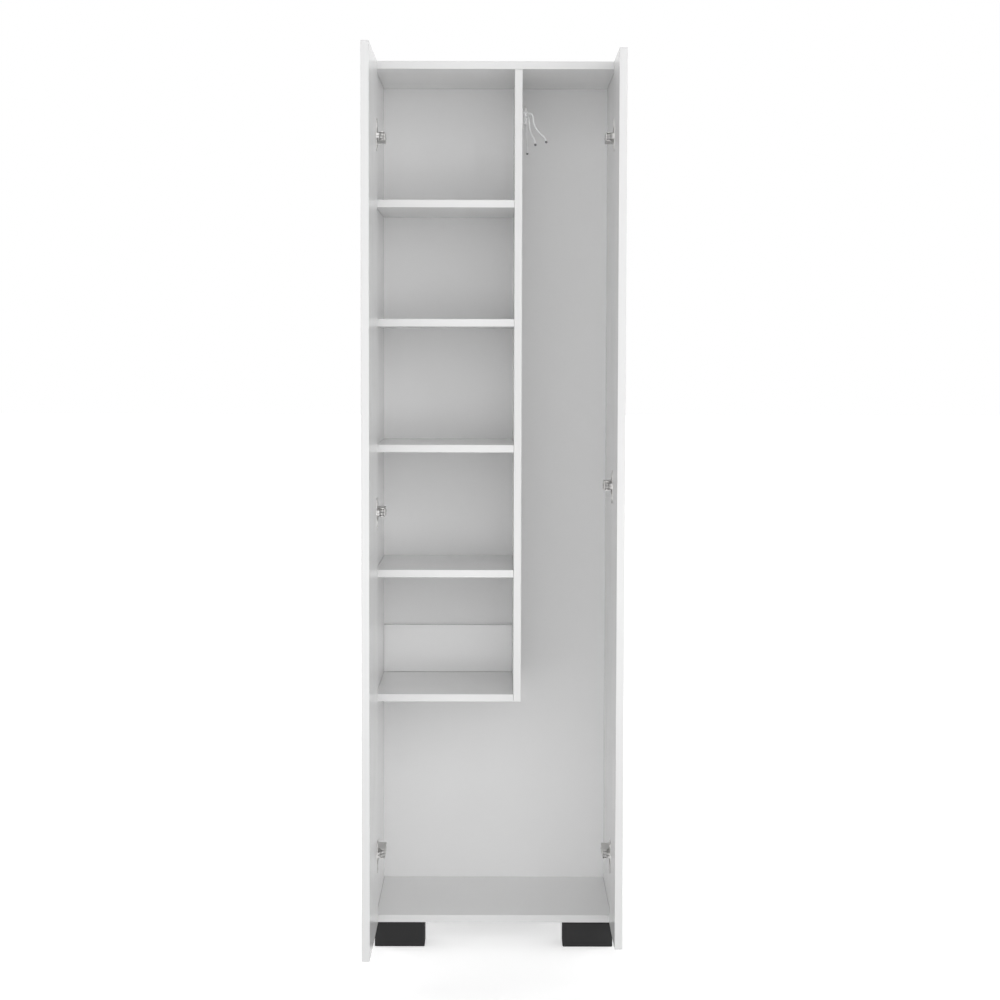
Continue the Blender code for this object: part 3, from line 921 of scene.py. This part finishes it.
@dataclass
class Studio:
    """The white room: ambient light, softboxes and a floor that keeps the shadow."""

    ambient: float = 0.2
    softboxes: tuple[Softbox, ...] = (
        Softbox("front_softbox", (0.0, -6.0, 2.0), watts=178, width=8.0, height=4.0),
        Softbox(
            "low_front_softbox",
            (0.0, -3.2, 0.4),
            watts=8,
            width=3.0,
            height=0.7,
            target=(0.0, 0.0, 0.4),
        ),
        Softbox("right_softbox", (4.2, -4.2, 1.8), watts=70, width=3.6, height=3.6),
        Softbox("rear_left_softbox", (-4.6, 2.4, 1.9), watts=104, width=3.0, height=3.0),
        Softbox("rear_right_softbox", (4.6, 2.4, 1.9), watts=88, width=3.0, height=3.0),
        Softbox("overhead_softbox", (0.0, 1.8, 4.6), watts=48, width=2.5, height=2.5),
    )
    floor_size: float = 80.0
    floor_colour: Colour = (0.90, 0.90, 0.90)
    floor_cloud: float = 0.8
    floor_roughness: float = 0.95
    floor_roughness_rise: float = 0.04
    floor_glow: float = 0.5
    glow_near: float = 1.4
    glow_far: float = 5.0

    def world(self) -> None:
        """White to the camera and in reflections, and the ambient strength as light."""
        world = bpy.data.worlds.new("white_room")
        bpy.context.scene.world = world
        world.use_nodes = True
        graph = NodeGraph(world.node_tree)
        background = graph.tree.nodes["Background"]
        strength = self.ambient + (FULL_WHITE - self.ambient) * graph.looked_at()
        graph.feed(background.inputs["Color"], opaque((1, 1, 1)))
        graph.feed(background.inputs["Strength"], strength)

    def glow(self, graph: ShaderGraph) -> Socket:
        """Sets how strongly the floor shows white.

        Args:
            graph: The floor's nodes.

        Returns:
            A strength that is weak round the cabinet, where its shadow falls, and full far off.
        """
        away = graph.node("ShaderNodeVectorMath", {"operation": "LENGTH"}, {0: graph.place()})
        rise = {
            "Value": graph.out(away, "Value"),
            "From Min": self.glow_near,
            "From Max": self.glow_far,
            "To Min": self.floor_glow,
            "To Max": FULL_WHITE,
        }
        return graph.out(graph.node("ShaderNodeMapRange", inputs=rise))

    def floor_material(self) -> bpy.types.Material:
        """Builds a matt white that keeps shadows, with a glow that only the camera and reflections see.

        Returns:
            The new material.
        """
        graph = ShaderGraph("studio_floor_white")
        strength = graph.looked_at() * self.glow(graph)
        lit = graph.node("ShaderNodeEmission", inputs={"Strength": strength})
        shaders = {0: graph.out(graph.shader), 1: graph.out(lit)}
        both = graph.node("ShaderNodeAddShader", inputs=shaders)
        graph.feed(graph.tree.nodes["Material Output"].inputs["Surface"], graph.out(both))
        cloud = graph.noise(self.floor_cloud, Detail.PLAIN)
        rough = self.floor_roughness + self.floor_roughness_rise * cloud
        return graph.surface(Base_Color=opaque(self.floor_colour), Roughness=rough)

    def floor(self) -> None:
        """Lays the floor."""
        shape = bmesh.new()
        bmesh.ops.create_grid(shape, x_segments=1, y_segments=1, size=self.floor_size / 2)
        floor = object_from(shape, "studio_floor")
        floor.data.materials.append(self.floor_material())

    def build(self) -> None:
        """Builds the room and lights it."""
        self.world()
        self.floor()
        for softbox in self.softboxes:
            softbox.build()
        bpy.context.scene.view_settings.view_transform = "Standard"
        LOG.info("studio: ambient %.2f, %d softboxes", self.ambient, len(self.softboxes))


@dataclass
class PhotoCamera:
    """The photograph's camera, fitted to the edges of the boards and doors, with angles in radians."""

    place: tuple[float, float, float] = (0.00273, -4.49388, 1.1833)
    heading: float = 0.00179
    tilt: float = -0.06393
    roll: float = 0.00246
    lens_mm: float = 81.53
    sensor_mm: float = 36
    reach: float = 200

    def build(self) -> None:
        """Makes it the scene's camera."""
        data = bpy.data.cameras.new("photo_camera")
        data.lens = self.lens_mm
        data.sensor_width = self.sensor_mm
        data.clip_end = self.reach
        camera = bpy.data.objects.new("photo_camera", data)
        heading = Matrix.Rotation(-self.heading, 4, "Z")
        aim = heading @ Matrix.Rotation(math.pi / 2 + self.tilt, 4, "X")
        roll = Matrix.Rotation(self.roll, 4, "Z")
        camera.matrix_world = Matrix.Translation(self.place) @ aim @ roll
        bpy.context.scene.collection.objects.link(camera)
        bpy.context.scene.camera = camera
        LOG.info("camera: %.1f mm lens", self.lens_mm)


def main() -> None:
    """Builds every sub-assembly in order and reports it."""
    logging.basicConfig(level=logging.INFO, format="%(name)s %(message)s")
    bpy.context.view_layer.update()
    PhotoCamera().build()
    Studio().build()
    steel = NICKEL_PLATE.material()
    link_steel = TUMBLED_STEEL.material()
    small_screw = ScrewPattern(
        "small_screw_head", steel, radius=2.7 * MM, height=1.2 * MM, recess=1.6 * MM
    )
    large_screw = ScrewPattern("large_screw_head", steel)
    small_mesh, large_mesh = small_screw.mesh(), large_screw.mesh()
    Carcass().dress()
    Feet().dress()
    for side in Side:
        Door(side).dress()
        Hinges(side, steel, link_steel, small_screw, large_screw).build(small_mesh, large_mesh)
    Hanger(steel, small_screw).build(small_mesh)


if __name__ == "__main__":
    main()
